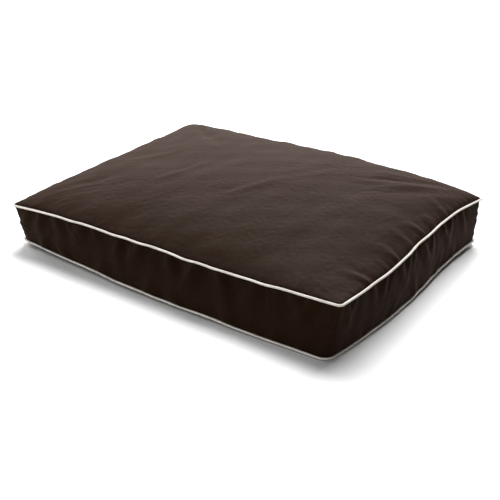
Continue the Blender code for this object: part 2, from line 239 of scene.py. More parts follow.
def tube_object(name, rings, closed=True):
    """A tube from rings of points."""
    return mesh_object(name, rings.reshape(-1, 3).tolist(), tube_faces(*rings.shape[:2], closed))


# ---------------------------------------------------------------- cloth simulation

CLOTH_SETTINGS = {
    "quality": 6, "mass": 0.25, "tension_stiffness": 22, "compression_stiffness": 22, "shear_stiffness": 6,
    "bending_stiffness": 0.6, "tension_damping": 8, "compression_damping": 8, "shear_damping": 6,
    "bending_damping": 0.8, "air_damping": 4, "use_pressure": True, "vertex_group_mass": "held",
    "pin_stiffness": 1.0,
}


def smooth_step(t):
    t = np.clip(t, 0, 1)
    return t * t * (3 - 2 * t)


def gather_map(length, count, gathers):
    """Extra cloth along one edge: each gather is (share along the edge, extra cloth and width in mm)."""
    along = np.linspace(0, length, count)
    extra = np.zeros(count)
    for share, amount, width in gathers:
        extra += amount * MM * (smooth_step((along - share * length) / (width * MM) + 0.5) - share)
    return extra


def nudge(points, seed, size):
    """Move the inner points of a grid a little at random, so that folds can start anywhere."""
    inner = points[1:-1, 1:-1]
    inner += np.random.default_rng(seed).normal(0, size, inner.shape)


def simulate(start, rest, hold, pressure):
    """Relax a grid of cloth from its start shape, with its rest shape's lengths, and return where it ends.

    Its rim is pinned, and the points inside it are held this lightly.
    """
    rows, columns = start.shape[:2]
    faces = []
    for r in range(rows - 1):
        for c in range(columns - 1):
            a = r * columns + c
            faces.append((a, a + 1, a + columns + 1, a + columns))
    piece = mesh_object("relaxing_cloth", start.reshape(-1, 3).tolist(), faces)
    piece.shape_key_add(name="Basis")
    cut = piece.shape_key_add(name="cut")
    cut.data.foreach_set("co", rest.reshape(-1).astype(np.float32))
    pins = np.full((rows, columns), hold)
    pins[0], pins[-1], pins[:, 0], pins[:, -1] = 1, 1, 1, 1
    group = piece.vertex_groups.new(name="held")
    for weight in np.unique(pins):
        group.add(np.flatnonzero(pins.reshape(-1) == weight).tolist(), float(weight), "REPLACE")
    cloth = piece.modifiers.new("cloth", "CLOTH")
    for key, value in CLOTH_SETTINGS.items():
        setattr(cloth.settings, key, value)
    cloth.settings.uniform_pressure_force = pressure
    cloth.settings.rest_shape_key = cut
    cloth.settings.effector_weights.gravity = 0
    cloth.collision_settings.use_collision = False
    cloth.collision_settings.use_self_collision = False
    cloth.point_cache.frame_start = 1
    cloth.point_cache.frame_end = FRAMES
    scene = bpy.context.scene
    for step in range(1, FRAMES + 1):
        scene.frame_set(step)
    shown = piece.evaluated_get(bpy.context.evaluated_depsgraph_get())
    ended = np.empty(rows * columns * 3, np.float32)
    shown.data.vertices.foreach_get("co", ended)
    scene.frame_set(1)
    mesh = piece.data
    bpy.data.objects.remove(piece)
    bpy.data.meshes.remove(mesh)
    return ended.reshape(rows, columns, 3).astype(float)


# How far in from each seam the crown's shoulder reaches: steep at the back and left, gentle in front
SHOULDERS = {FRONT: 80 * MM, RIGHT: 60 * MM, BACK: 12 * MM, LEFT: 16 * MM}
SHOULDER_SHARE = 0.60        # of the crown's height, and the rest is a wide dome
DOME_SHARE = 0.38


def crown_height(u, v):
    """Height of the top panel over its seam, where u and v run from -1 to 1 across the cushion."""
    away = {LEFT: (1 + u) * TOP_X, RIGHT: (1 - u) * TOP_X, FRONT: (1 + v) * TOP_Y, BACK: (1 - v) * TOP_Y}
    shoulder = 1.0
    for side, distance in away.items():
        shoulder = shoulder * (1 - np.exp(-(np.clip(distance, 0, None) / SHOULDERS[side]) ** 0.75))
    dome = (1 - u * u) * (1 - v * v)
    return CROWN * (SHOULDER_SHARE * shoulder / np.max(shoulder) + DOME_SHARE * dome)


def blurred(field, cells):
    """A field smoothed over this many grid cells each way, with its edges repeated."""
    reach = int(3 * cells)
    kernel = np.exp(-0.5 * (np.arange(-reach, reach + 1) / cells) ** 2)
    kernel /= kernel.sum()
    for axis in (0, 1):
        widths = [(reach, reach) if k == axis else (0, 0) for k in range(field.ndim)]
        padded = np.pad(field, widths, mode="edge")
        field = np.apply_along_axis(lambda line: np.convolve(line, kernel, mode="valid"), axis, padded)
    return field


def wrinkles_only(start, ended, reach):
    """The start shape with the simulation's folds on it, but not its slow swelling."""
    moved = ended - start
    rows, columns = start.shape[:2]
    r = np.minimum(np.arange(rows), np.arange(rows)[::-1])[:, None] * CELL
    c = np.minimum(np.arange(columns), np.arange(columns)[::-1])[None, :] * CELL
    inner = smooth_step(np.minimum(r, c) / (reach * 1.2))
    folds = moved - blurred(moved, reach / CELL) * inner[:, :, None]
    calm = smooth_step((np.hypot(r, c) - 40 * MM) / (150 * MM))
    return start + folds * calm[:, :, None]


def patch(front, right, back, left):
    """A grid of points that fills four edges. Front and back run along +X, left and right along +Y."""
    rows, columns = len(left), len(front)
    u = np.linspace(0, 1, columns)[None, :, None]
    v = np.linspace(0, 1, rows)[:, None, None]
    lengthwise = (1 - v) * front[None] + v * back[None]
    crosswise = (1 - u) * left[:, None] + u * right[:, None]
    corner_mix = ((1 - u) * (1 - v) * front[0] + u * (1 - v) * front[-1]
                  + (1 - u) * v * back[0] + u * v * back[-1])
    return lengthwise + crosswise - corner_mix

def panel_edges(level, columns, rows, inset, rise):
    """A seam's four sides in the order that patch takes them."""
    return (
        seam_row(level, FRONT, columns, inset, rise),
        seam_row(level, RIGHT, rows, inset, rise),
        seam_row(level, BACK, columns, inset, rise)[::-1],
        seam_row(level, LEFT, rows, inset, rise)[::-1],
    )


def panel_grid():
    """Columns and rows of a panel's grid, and plan coordinates from -1 to 1 across the cushion."""
    columns = 2 * round(TOP_X / CELL) + 1
    rows = 2 * round(TOP_Y / CELL) + 1
    return columns, rows, np.linspace(-1, 1, columns)[None, :], np.linspace(-1, 1, rows)[:, None]


def developed(start):
    """How far each point of a grid is along its row and up its column, from the middle of their lengths."""
    along, upward = np.zeros(start.shape[:2]), np.zeros(start.shape[:2])
    along[:, 1:] = np.cumsum(np.linalg.norm(np.diff(start, axis=1), axis=2), axis=1)
    upward[1:] = np.cumsum(np.linalg.norm(np.diff(start, axis=0), axis=2), axis=0)
    return along - along[:, -1:] / 2, upward - upward[-1:] / 2


# Gathers sewn into the top panel's edges: (share along the edge, extra cloth, width), in millimetres.
# Right: from the front corner to the back. Front and back: from left to right.
RIGHT_GATHERS = [(0.10, 3, 22), (0.19, 4, 26), (0.30, 7, 34), (0.41, 6, 30), (0.50, 3, 20), (0.60, 6, 30),
                 (0.70, 4, 22), (0.80, 4, 26)]
LEFT_GATHERS = [(0.30, 4, 30), (0.47, 3, 26), (0.62, 4, 34)]
FRONT_GATHERS = [(0.16, 2, 30), (0.33, 1.5, 40), (0.93, 2, 24), (0.86, 2, 26)]
BACK_GATHERS = [(0.22, 3, 34), (0.47, 2, 40), (0.68, 3, 34)]
TOP_EASE = 0.012
GATHER_REACH = 75 * MM


def top_cloth():
    """The crowned top panel, pinned all round to the upper seam."""
    columns, rows, u, v = panel_grid()
    start = patch(*panel_edges("top", columns, rows, SEAM_INSET, SEAM_RISE))
    start[:, :, 2] += crown_height(u, v)
    along, upward = developed(start)
    cut_x = (0.5 * along + 0.5 * along[rows // 2][None, :]) * (1 + TOP_EASE)
    cut_y = (0.5 * upward + 0.5 * upward[:, columns // 2][:, None]) * (1 + TOP_EASE)
    for gathers, distance in ((RIGHT_GATHERS, (1 - u) * TOP_X), (LEFT_GATHERS, (1 + u) * TOP_X)):
        extra = gather_map(2 * TOP_Y, rows, gathers)[:, None]
        cut_y = cut_y + extra * np.exp(-(distance / GATHER_REACH) ** 1.3)
    for gathers, distance in ((FRONT_GATHERS, (1 + v) * TOP_Y), (BACK_GATHERS, (1 - v) * TOP_Y)):
        extra = gather_map(2 * TOP_X, columns, gathers)[None, :]
        cut_x = cut_x + extra * np.exp(-(distance / GATHER_REACH) ** 1.3)
    rest = np.stack([cut_x, cut_y, np.zeros_like(cut_x)], axis=2)
    nudge(start[:, :, 2], seed=5, size=0.25 * MM)
    ended = simulate(start, rest, hold=0.02, pressure=0.6)
    return wrinkles_only(start, ended, reach=38 * MM), rest


# ---------------------------------------------------------------- walls


def wall_start(side, rows, lower, upper, swell, pinch):
    """Start shape of a wall between two seam rows: swollen at the middle, drawn in at the corners."""
    height = np.linspace(0, 1, rows)[:, None, None]
    start = lower[None] * (1 - height) + upper[None] * height
    outward = -inward_of((lower + upper) / 2)
    ends = corner_inward(side)
    outward[0], outward[-1] = -ends[0], -ends[1]
    middle = np.sin(np.pi * np.linspace(0, 1, len(lower))) ** 0.35
    depth = swell * middle - pinch * (1 - middle)
    bulge = np.sin(np.pi * np.linspace(0, 1, rows)) ** 0.8
    return start + outward[None] * (bulge[:, None] * depth[None, :])[:, :, None]


def flat_cut(start, ease_along, ease_up):
    """Flat rest shape of a grid, as long and as tall as the start shape, with some ease."""
    rows, columns = start.shape[:2]
    along, upward = developed(start)
    cut_x = along.mean(axis=0)[None, :].repeat(rows, axis=0)
    cut_y = upward.mean(axis=1)[:, None].repeat(columns, axis=1)
    return np.stack([cut_x * (1 + ease_along), cut_y * (1 + ease_up), np.zeros((rows, columns))], axis=2)


# Gathers at the walls' upper and lower edges, as on the top panel
WALL_GATHERS = {
    FRONT: (
        [(0.07, 5, 22), (0.13, 5, 24), (0.20, 4, 24), (0.40, 4, 34), (0.53, 4, 36), (0.67, 3, 34),
         (0.95, 4, 18)],
        [(0.05, 4, 22), (0.12, 5, 26), (0.22, 3, 24), (0.47, 4, 40), (0.72, 3, 30), (0.93, 3, 18)],
    ),
    RIGHT: (
        [(0.06, 3, 16), (0.14, 4, 22), (0.24, 6, 26), (0.33, 4, 20), (0.43, 4, 22), (0.52, 4, 24),
         (0.62, 6, 26), (0.70, 5, 22), (0.80, 7, 24), (0.88, 6, 22), (0.95, 4, 16)],
        [(0.10, 3, 22), (0.28, 5, 26), (0.47, 4, 24), (0.60, 4, 24), (0.74, 6, 26), (0.84, 6, 24),
         (0.93, 5, 20)],
    ),
    LEFT: (
        [(0.08, 5, 24), (0.21, 4, 24), (0.38, 5, 30), (0.55, 4, 26), (0.73, 5, 30), (0.9, 4, 22)],
        [(0.12, 4, 24), (0.32, 4, 28), (0.5, 5, 30), (0.69, 4, 26), (0.88, 5, 24)],
    ),
}


def wall_cloth(side):
    """A whole wall: the front, the right or the left one."""
    length = 2 * (TOP_X if side == FRONT else TOP_Y)
    columns = 2 * round(length / CELL / 2) + 1
    rows = 2 * round((TOP_Z - BOTTOM_Z) / CELL / 2) + 1
    lower = seam_row("bottom", side, columns, SEAM_INSET, SEAM_RISE)
    upper = seam_row("top", side, columns, SEAM_INSET, -SEAM_RISE)
    start = wall_start(side, rows, lower, upper, swell=9 * MM, pinch=2 * MM)
    rest = flat_cut(start, ease_along=0.010, ease_up=0.02)
    height = np.linspace(0, 1, rows)[:, None]
    for gathers, away in zip(WALL_GATHERS[side], (1 - height, height)):
        rest[:, :, 0] += gather_map(length, columns, gathers)[None] * np.exp(-(away / 0.42) ** 1.4)
    nudge(start, seed=20 + side, size=0.25 * MM)
    return simulate(start, rest, hold=0.02, pressure=0.5), rest


ZIP_STRAIGHT = 397 * MM      # the zip runs dead straight this far to each side
ZIP_BEND = 28 * MM           # and follows the wall again over this length
ZIP_SLOT = 6.5 * MM


def zip_path(count, depth):
    """The zip's line in plan, in the back wall's direction of travel, a depth inside the wall's face."""
    upper = seam_row("top", BACK, count, SEAM_INSET, 0)
    lower = seam_row("bottom", BACK, count, SEAM_INSET, 0)
    path = (upper + lower) / 2
    straight = smooth_step((ZIP_STRAIGHT + ZIP_BEND - np.abs(path[:, 0])) / ZIP_BEND)
    path[:, 1] = path[:, 1] * (1 - straight) + WALL_Y * straight
    path[:, 2] = ZIP_Z
    inward = inward_of(path)
    inward[0], inward[-1] = corner_inward(BACK)
    return path + inward * depth, straight


def back_cloth(half):
    """The back wall's strip above or below the zip."""
    columns = panel_grid()[0]
    fold, straight = zip_path(columns, 0)
    way = WAYS[half]
    fold[:, 2] = ZIP_Z + way * (ZIP_SLOT * straight + 0.2 * MM)
    rows = 2 * round((TOP_Z - ZIP_Z) / CELL / 2) + 1
    height = np.linspace(0, 1, rows)[:, None]
    shares = [0.06, 0.17, 0.33, 0.46, 0.58, 0.75, 0.86, 0.95]
    if half == "upper":
        lower, upper = fold, seam_row("top", BACK, columns, SEAM_INSET, -SEAM_RISE)
        from_seam = 1 - height
    else:
        lower, upper = seam_row("bottom", BACK, columns, SEAM_INSET, SEAM_RISE), fold
        from_seam = height
        shares = [share + 0.03 for share in shares[:-1]]
    start = wall_start(BACK, rows, lower, upper, swell=3 * MM, pinch=0.5 * MM)
    rest = flat_cut(start, ease_along=0.008, ease_up=0.012)
    extra = gather_map(2 * TOP_X, columns, [(share, 4, 26) for share in shares])
    rest[:, :, 0] += extra[None] * np.exp(-(from_seam / 0.5) ** 1.4)
    nudge(start, seed=40 + way, size=0.2 * MM)
    return simulate(start, rest, hold=0.03, pressure=0.35), rest


# ---------------------------------------------------------------- meshes from cloth grids


def refine_once(grid):
    """Twice as many points along the first axis, on a smooth curve through the old ones."""
    padded = np.concatenate([2 * grid[:1] - grid[1:2], grid, 2 * grid[-1:] - grid[-2:-1]])
    between = (9 * (padded[1:-2] + padded[2:-1]) - padded[:-3] - padded[3:]) / 16
    made = np.empty((2 * len(grid) - 1,) + grid.shape[1:])
    made[0::2] = grid
    made[1::2] = between
    return made


def refine(grid):
    finer = refine_once(grid)
    return refine_once(finer.transpose(1, 0, 2)).transpose(1, 0, 2)


def grid_normals(shape):
    along = np.gradient(shape, axis=1)
    upward = np.gradient(shape, axis=0)
    normals = np.cross(along, upward)
    return normals / np.linalg.norm(normals, axis=2)[:, :, None]

def edge_frame(cut, edge):
    """Places in the cut along an edge's direction, the edge's own places, and distances away from it."""
    if edge in ("low", "high"):
        row = cut[:1] if edge == "low" else cut[-1:]
        return cut[:, :, 0], row[:, :, 0], np.abs(cut[:, :, 1] - row[:, :, 1])
    column = cut[:, :1] if edge == "left" else cut[:, -1:]
    return cut[:, :, 1], column[:, :, 1], np.abs(cut[:, :, 0] - column[:, :, 0])


def pucker(shape, cut, edges, seed, size=0.55 * MM, reach=13 * MM):
    """Short ripples that the stitches draw into the cloth beside a seam, dying away from it."""
    rng = np.random.default_rng(seed)
    normals = grid_normals(shape)
    moved = shape.copy()
    for edge in edges:
        _, line, away = edge_frame(cut, edge)
        turn = 2 * np.pi * (line + 0 * away)
        wave = np.zeros_like(away)
        for length, share in ((31, 0.6), (19, 0.9), (13, 0.6)):
            wave += share * np.sin(turn / (length * MM) + rng.uniform(0, 2 * np.pi)
                                   + 1.8 * np.sin(turn / (83 * MM) + rng.uniform(0, 2 * np.pi)))
        patchy = 0.55 + 0.45 * np.sin(turn / 0.21 + rng.uniform(0, 2 * np.pi))
        fade = np.exp(-away / reach) * np.clip(away / (4 * MM), 0, 1)
        moved += normals * (size * wave * patchy * fade)[:, :, None]
    return moved


def bump_at(place, width=1.0):
    return np.exp(-(place / width) ** 2)


def add_folds(shape, cut, folds):
    """Tucks that run in from a seam. Each is (edge, place in mm, lean, length, width, height in mm)."""
    normals = grid_normals(shape)
    moved = shape.copy()
    for edge, place, lean, length, width, height in folds:
        positions, line, away = edge_frame(cut, edge)
        along = positions - line[0, 0]
        wide = width * MM * (1 + 0.7 * away / (length * MM))
        s = (along - place * MM - lean * away) / wide
        profile = np.exp(-s * s) - 0.5 * bump_at(s - 1.5, 0.9) - 0.2 * bump_at(s + 1.6, 0.9)
        fade = smooth_step(away / (5 * MM)) * (1 - smooth_step(away / (length * MM)))
        moved += normals * (height * MM * profile * fade)[:, :, None]
    return moved


def random_folds(seed, edge, length, spacing, sizes, lean=0.25):
    """Small tucks all along an edge: sizes are the least and most length, width and height in mm."""
    rng = np.random.default_rng(seed)
    place = 18.0
    folds = []
    while place < length / MM - 18:
        long, wide, high = [rng.uniform(low, most) for low, most in sizes]
        folds.append((edge, place, rng.uniform(-lean, lean), long, wide, high))
        place += spacing * rng.uniform(0.55, 1.6)
    return folds


def add_creases(shape, creases):
    """Long soft creases across a panel: each is (x, y) from and to, width and height, in mm."""
    moved = shape.copy()
    for x0, y0, x1, y1, width, height in creases:
        start, end = np.array([x0, y0]) * MM, np.array([x1, y1]) * MM
        ahead = (end - start) / np.linalg.norm(end - start)
        offset = shape[:, :, :2] - start
        along = offset @ ahead / np.linalg.norm(end - start)
        across = (offset[:, :, 0] * ahead[1] - offset[:, :, 1] * ahead[0]) / (width * MM)
        across = across + 0.6 * np.sin(5 * along)
        fade = smooth_step(along / 0.3) * smooth_step((1 - along) / 0.3)
        profile = bump_at(across) - 0.6 * bump_at(across - 1.6, 1.1)
        moved[:, :, 2] += height * MM * profile * fade
    return moved


def undulate(shape, seed, size, lengths, edge_fade=45 * MM):
    """Slow unevenness of the filling under the cloth."""
    rng = np.random.default_rng(seed)
    x, y = shape[:, :, 0], shape[:, :, 1]
    wave = np.zeros(x.shape)
    for length in lengths:
        for _ in range(3):
            turn = rng.uniform(0, 2 * np.pi)
            wave += np.sin(2 * np.pi * (x * np.cos(turn) + y * np.sin(turn)) / length + rng.uniform(0, 6.28))
    wave /= math.sqrt(3 * len(lengths))
    inner = smooth_step((TOP_X - np.abs(x)) / edge_fade) * smooth_step((TOP_Y - np.abs(y)) / edge_fade)
    moved = shape.copy()
    moved[:, :, 2] += size * wave * inner
    return moved


def cloth_object(name, shape, cut, thickness=FABRIC, borders=(), flip=False):
    """A named cloth piece from a grid. Each border is (edge, row of points, allowance in the cut)."""
    rows, columns = shape.shape[:2]
    full = np.full((rows + 2, columns + 2, 3), np.nan)
    flat = np.zeros((rows + 2, columns + 2, 2))
    full[1:-1, 1:-1] = shape
    flat[1:-1, 1:-1] = cut[:, :, :2]
    places = {
        "low": (np.s_[0, 1:-1], np.s_[1, 1:-1], (0, -1)),
        "high": (np.s_[-1, 1:-1], np.s_[-2, 1:-1], (0, 1)),
        "left": (np.s_[1:-1, 0], np.s_[1:-1, 1], (-1, 0)),
        "right": (np.s_[1:-1, -1], np.s_[1:-1, -2], (1, 0)),
    }
    for edge, points, turned in borders:
        new, old, way = places[edge]
        full[new] = points
        flat[new] = flat[old] + np.array(way) * turned
    there = ~np.isnan(full[:, :, 0])
    number = np.cumsum(there.reshape(-1)).reshape(there.shape) - 1
    faces, uvs = [], []
    for r in range(rows + 1):
        for c in range(columns + 1):
            cells = [(r, c), (r, c + 1), (r + 1, c + 1), (r + 1, c)]
            if all(there[cell] for cell in cells):
                if flip:
                    cells.reverse()
                faces.append([int(number[cell]) for cell in cells])
                uvs += [tuple(flat[cell]) for cell in cells]
    piece = mesh_object(name, full[there].tolist(), faces)
    layer = piece.data.uv_layers.new(name="cut")
    layer.data.foreach_set("uv", np.array(uvs, np.float32).reshape(-1))
    thicken(piece, thickness)
    return piece


# ---------------------------------------------------------------- piping


def seam_loop(level, spacing):
    """The whole seam as evenly spaced points, anticlockwise, with directions inwards and up."""
    sides = []
    for side in range(4):
        length = 2 * (TOP_X if side in (FRONT, BACK) else TOP_Y)
        sides.append(side_curve(level, side, int(length / spacing))[:-1])
    points = np.concatenate(sides)
    closed = np.concatenate([points, points[:1]])
    total = np.linalg.norm(np.diff(closed, axis=0), axis=1).sum()
    points = resample(closed, int(total / spacing) + 1)[:-1]
    ahead = np.roll(points, -1, axis=0) - np.roll(points, 1, axis=0)
    ahead /= np.linalg.norm(ahead, axis=1)[:, None]
    up = UP - ahead * ahead[:, 2:3]
    up /= np.linalg.norm(up, axis=1)[:, None]
    inward = np.cross(up, ahead)
    return points, inward, up, total


def piping_cover(level):
    """Bias cloth round the cord, with the cord's twist showing through, and its flange in the seam."""
    spacing = 2.2 * MM
    points, inward, up, total = seam_loop(level, spacing)
    cloth, slit, lip = 0.6 * MM, 0.15 * MM, 0.75 * MM
    inner = COVERED_R - cloth
    outer_angle, inner_angle = math.asin(lip / COVERED_R), math.asin(slit / inner)
    along = np.arange(len(points)) / len(points) * total
    turns = round(total / COVER_PITCH)
    twist = 2 * np.pi * turns * np.arange(len(points)) / len(points)
    # each point of the section is (inwards, up, angle), as shares of the radius where it has an angle
    profile = [(ALLOWANCE, lip, None)]
    for angle in np.linspace(outer_angle, 2 * np.pi - outer_angle, 15):
        profile.append((math.cos(angle), math.sin(angle), angle))
    profile += [(ALLOWANCE, -lip, None), (ALLOWANCE, -slit, None)]
    for angle in np.linspace(2 * np.pi - inner_angle, inner_angle, 9):
        profile.append((inner * math.cos(angle), inner * math.sin(angle), None))
    profile.append((ALLOWANCE, slit, None))
    rng = np.random.default_rng(71 + len(level))
    drift = sum(0.05 * MM * np.sin(2 * np.pi * along / length + rng.uniform(0, 6))
                for length in (0.031, 0.052, 0.013))
    rings = np.empty((len(points), len(profile), 3))
    for k, (across, rise, angle) in enumerate(profile):
        radius = 1.0
        if angle is not None:
            radius = (COVERED_R - TWIST + TWIST * np.cos(2 * (angle - twist)) + drift)[:, None]
        rings[:, k] = points + inward * (radius * across) + up * (radius * rise)
    return tube_object(level + "_piping", rings[:, ::-1])


def piping_cord(level):
    """The cotton cord inside the piping: three strands laid together."""
    spacing = 3 * MM
    points, inward, up, total = seam_loop(level, spacing)
    turns = round(total / CORD_PITCH)
    twist = 2 * np.pi * turns * np.arange(len(points)) / len(points)
    sides = 12
    rings = np.empty((len(points), sides, 3))
    for k in range(sides):
        angle = 2 * np.pi * k / sides
        radius = CORD_R + TWIST * np.cos(3 * (angle - twist))
        rise = (radius * math.sin(angle))[:, None]
        rings[:, k] = points + inward * (radius * math.cos(angle))[:, None] + up * rise
    return tube_object(level + "_cord", rings[:, ::-1])


# ---------------------------------------------------------------- bottom panel


def bottom_cloth():
    """The flat underside, turned up to the lower seam all round."""
    columns, rows, u, v = panel_grid()
    shape = patch(*panel_edges("bottom", columns, rows, SEAM_INSET, -SEAM_RISE))
    away = np.minimum((1 - np.abs(u)) * TOP_X, (1 - np.abs(v)) * TOP_Y)
    floor = 0.3 * MM
    lift = np.clip(1 - away / (42 * MM), 0, 1) ** 2.1
    rng = np.random.default_rng(61)
    wave = np.zeros_like(away)
    for _ in range(9):
        turn = rng.uniform(0, 2 * np.pi)
        size = rng.uniform(35, 90)
        wave += np.sin(size * (np.cos(turn) * u * TOP_X + np.sin(turn) * v * TOP_Y) + rng.uniform(0, 6))
    shape[:, :, 2] = floor + (shape[:, :, 2] - floor) * lift
    shape[:, :, 2] += 0.25 * MM * (1 + np.tanh(wave / 3)) * (1 - lift)
    cut = np.zeros_like(shape)
    cut[:, :, 0] = u * (TOP_X + 16 * MM) + 0 * v
    cut[:, :, 1] = v * (TOP_Y + 16 * MM) + 0 * u
    return shape, cut


# ---------------------------------------------------------------- making the cover

made = {}


def keep(piece, slot, *nodes):
    """Put a piece on the cushion, and let it stand for CAD nodes. The slot is not used."""
    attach(piece, "cushion")
    if nodes:
        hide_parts(*nodes)
    made[piece.name] = piece


def folds_on(edge, folds):
    """Tucks of one edge: each is (place, lean, length, width, height)."""
    return [(edge, *fold) for fold in folds]


# Tucks that stand out, and small ones all along the seams. On the top panel, places run from the front
# for its right and left edges and from the left for the others. On a wall they run from its left end.
TOP_FOLDS = folds_on("right", [
    (128, -0.10, 105, 10, 3.4), (205, 0.15, 70, 9, 1.8), (262, 0.05, 80, 9, 2.4), (342, 0.10, 95, 10, 2.6),
    (415, -0.12, 85, 9, 2.3), (470, 0.20, 70, 8, 1.8), (540, 0.25, 95, 10, 2.2),
]) + folds_on("left", [
    (110, 0.30, 60, 10, 1.4), (330, -0.20, 80, 12, 1.8), (520, -0.10, 70, 10, 1.6),
]) + folds_on("low", [
    (70, 0.35, 60, 10, 1.3), (250, 0.10, 45, 12, 0.9), (830, -0.30, 55, 10, 1.4),
]) + folds_on("high", [
    (200, -0.20, 60, 12, 1.6), (520, 0.15, 75, 12, 1.8), (760, 0.20, 60, 11, 1.6),
])
TOP_FOLDS += random_folds(301, "right", 2 * TOP_Y, 17, ((22, 58), (4.5, 7.5), (0.5, 1.5)))
TOP_FOLDS += random_folds(302, "left", 2 * TOP_Y, 30, ((20, 45), (5, 8), (0.4, 1.1)))
TOP_FOLDS += random_folds(303, "low", 2 * TOP_X, 34, ((14, 34), (5, 9), (0.25, 0.8)))
TOP_FOLDS += random_folds(304, "high", 2 * TOP_X, 30, ((20, 45), (5, 8), (0.4, 1.1)))
TOP_CREASES = [
    (-150, 60, -190, -160, 12, 1.3), (60, 40, 10, -120, 12, 1.1), (150, 190, 60, -20, 16, 1.0),
    (-260, 120, -330, -60, 14, 1.0), (250, 60, 330, -110, 16, 1.0), (-40, 250, 60, 120, 14, 0.9),
]
WALL_FOLDS = {
    FRONT: folds_on("high", [
        (52, -0.45, 100, 11, 5.4), (96, -0.20, 110, 12, 5.0), (150, 0.35, 95, 15, 4.6),
        (236, -0.30, 85, 17, 4.0), (352, 0.15, 118, 13, 5.6), (420, -0.40, 90, 17, 5.0),
        (505, 0.45, 85, 15, 6.0), (585, -0.35, 110, 16, 8.0), (650, 0.30, 95, 16, 6.6),
        (742, -0.25, 90, 16, 6.0), (838, 0.35, 75, 14, 4.6), (880, -0.55, 95, 11, 7.5),
    ]) + folds_on("low", [
        (84, 0.45, 90, 14, 5.0), (176, -0.35, 75, 16, 4.2), (300, 0.40, 80, 17, 4.4),
        (455, 0.35, 85, 17, 5.0), (540, -0.45, 70, 16, 4.0), (690, -0.35, 80, 17, 4.6),
        (800, 0.30, 70, 15, 4.8), (872, 0.50, 65, 11, 4.8),
    ]) + random_folds(401, "high", 2 * TOP_X, 30, ((18, 65), (5, 12), (0.6, 2.6)), 0.7),
    RIGHT: folds_on("high", [
        (24, 0.65, 85, 8, 4.0), (64, -0.20, 95, 11, 3.2), (132, 0.45, 100, 11, 3.6),
        (196, -0.30, 85, 10, 3.0), (268, 0.35, 100, 12, 3.6), (322, -0.45, 90, 10, 3.2),
        (392, 0.40, 105, 12, 4.2), (452, -0.25, 90, 10, 3.8), (512, 0.50, 100, 11, 4.4),
        (566, -0.35, 90, 10, 3.8), (622, 0.30, 95, 10, 4.2),
    ]) + folds_on("low", [
        (105, -0.50, 75, 12, 2.8), (228, 0.45, 75, 12, 3.2), (350, -0.50, 80, 12, 3.4),
        (474, 0.45, 75, 12, 3.4), (585, -0.50, 75, 11, 3.2),
    ]) + random_folds(402, "high", 2 * TOP_Y, 25, ((18, 80), (4, 9), (0.5, 2.4)), 0.8),
    LEFT: folds_on("high", [
        (60, 0.20, 80, 10, 2.4), (170, -0.25, 80, 11, 2.6), (290, 0.35, 90, 12, 3.0),
        (420, -0.30, 85, 11, 3.0), (530, 0.20, 85, 11, 2.6), (620, -0.20, 75, 10, 2.4),
    ]) + folds_on("low", [
        (120, 0.30, 60, 11, 2.0), (350, -0.40, 65, 12, 2.2), (560, 0.25, 60, 11, 2.0),
    ]) + random_folds(403, "high", 2 * TOP_Y, 24, ((20, 60), (4, 9), (0.5, 1.8)), 0.5),
}


def panel_borders(level, shape, rise):
    """A panel's seam allowances, all round."""
    rows, columns = shape.shape[:2]
    edges = panel_edges(level, columns, rows, ALLOWANCE, rise)
    return [(edge, row, FLAT_ALLOWANCE) for edge, row in zip(("low", "right", "high", "left"), edges)]


def end_borders(shape, side):
    """The allowances of a wall's corner seams, each folded into the cushion next to its neighbour's."""
    borders = []
    ends = (("left", shape[:, 0], shape[:, 1]), ("right", shape[:, -1], shape[:, -2]))
    for (name, edge, beside), inward in zip(ends, corner_inward(side)):
        away = unit((beside - edge).mean(axis=0))
        borders.append((name, edge + inward * ALLOWANCE + away * 0.9 * MM, ALLOWANCE))
    return borders


def make_top():
    shape, cut = [refine(grid) for grid in top_cloth()]
    shape = undulate(shape, seed=57, size=0.9 * MM, lengths=(0.26, 0.17, 0.11, 0.07))
    shape = add_creases(shape, TOP_CREASES)
    shape = add_folds(shape, cut, TOP_FOLDS)
    shape = pucker(shape, cut, ("low", "right", "high", "left"), seed=81)
    piece = cloth_object("top_cloth", shape, cut, borders=panel_borders("top", shape, SEAM_RISE))
    keep(piece, "cover_cloth", "top_panel")
    return shape


def corner_tucks(seed):
    """Small tucks that run into a wall from its corner seams."""
    sizes = ((22, 60), (5, 8), (0.5, 1.5))
    height = TOP_Z - BOTTOM_Z
    return (random_folds(seed, "left", height, 16, sizes, 0.7)
            + random_folds(seed + 1, "right", height, 16, sizes, 0.7))


def make_wall(side, name, node):
    shape, cut = [refine(grid) for grid in wall_cloth(side)]
    columns = shape.shape[1]
    shape = add_folds(shape, cut, WALL_FOLDS[side] + corner_tucks(500 + 2 * side))
    shape = pucker(shape, cut, ("low", "high"), seed=90 + side, size=0.7 * MM)
    borders = [
        ("low", seam_row("bottom", side, columns, ALLOWANCE, SEAM_RISE), FLAT_ALLOWANCE),
        ("high", seam_row("top", side, columns, ALLOWANCE, -SEAM_RISE), FLAT_ALLOWANCE),
    ]
    piece = cloth_object(name, shape, cut, borders=borders + end_borders(shape, side))
    keep(piece, "cover_cloth", node)


